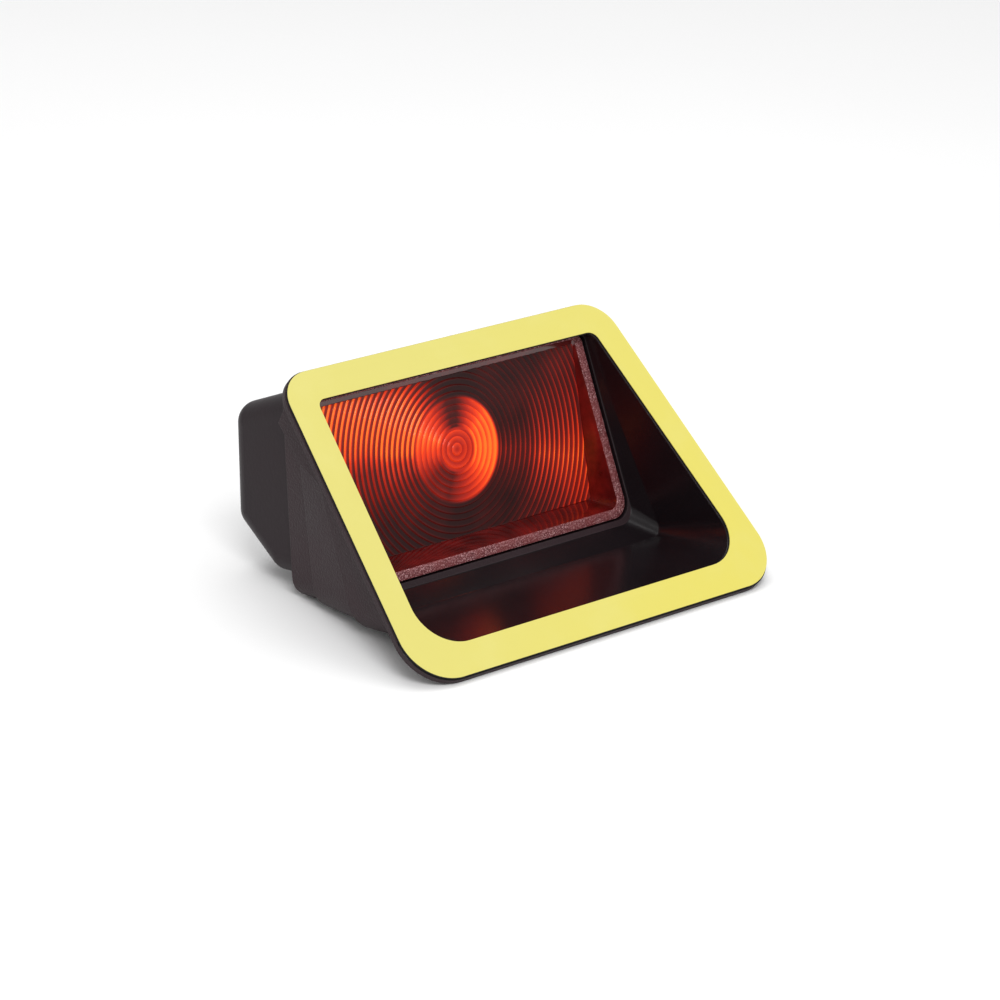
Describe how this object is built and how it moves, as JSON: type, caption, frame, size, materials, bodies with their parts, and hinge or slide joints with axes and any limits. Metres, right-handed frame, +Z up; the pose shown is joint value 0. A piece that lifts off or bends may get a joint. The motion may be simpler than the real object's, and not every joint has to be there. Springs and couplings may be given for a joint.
{
  "type": "hooded tail light",
  "caption": "Black stepped hood with a sloping adhesive flange and yellow release film; a red ringed lens, reflector and wedge bulb in a quarter-turn holder sit at its back.",
  "frame": {"origin": "on the table under the middle of the lamp's width and depth", "axes": "+Z up from the table, X across the lamp, -Y to the front, where the flange and lens look; the lamp lies back on its flange lip and the heel of its hood"},
  "size_m": [0.1284, 0.1154, 0.0634],
  "materials": {
    "hood_black": "fine grain outside, polished inside",
    "cover_black": "satin",
    "tape_foam": "closed-cell foam",
    "film_yellow": "smooth film",
    "lens_red": "clear red moulding with concentric rings",
    "seal_rubber": "matt",
    "reflector_bright": "vacuum metallised",
    "screw_steel": "zinc plated",
    "holder_grey": "moulded",
    "contact_brass": "tin plated",
    "bulb_glass": "clear",
    "wire_steel": "drawn",
    "membrane": "porous"
  },
  "bodies": {
    "housing": {"hood": "hood_black", "adhesive_tape": "tape_foam", "release_film": "film_yellow", "lens": "lens_red", "lens_seal": "seal_rubber", "rear_cover": "cover_black", "housing_seal": "seal_rubber", "reflector": "reflector_bright", "reflector_screws": "screw_steel", "cover_screws": "screw_steel", "vent_plug": "seal_rubber", "vent_membrane": "membrane"},
    "holder": {"bulb_holder": "holder_grey", "holder_seal": "seal_rubber", "contact_live": "contact_brass", "contact_earth": "contact_brass"},
    "bulb": {"bulb_glass": "bulb_glass", "bulb_filament": "wire_steel", "bulb_lead_wires": "wire_steel"}
  },
  "joints": [
    {"name": "holder_turn", "type": "hinge", "parent": "housing", "child": "holder", "pos_m": [0, 0.04397, 0.02424], "axis": [0, 0.9726, -0.2326], "range_deg": [0, 45]},
    {"name": "bulb_pull", "type": "slide", "parent": "holder", "child": "bulb", "axis": [0, -0.9726, 0.2326], "range_m": [0, 0.007]}
  ]
}
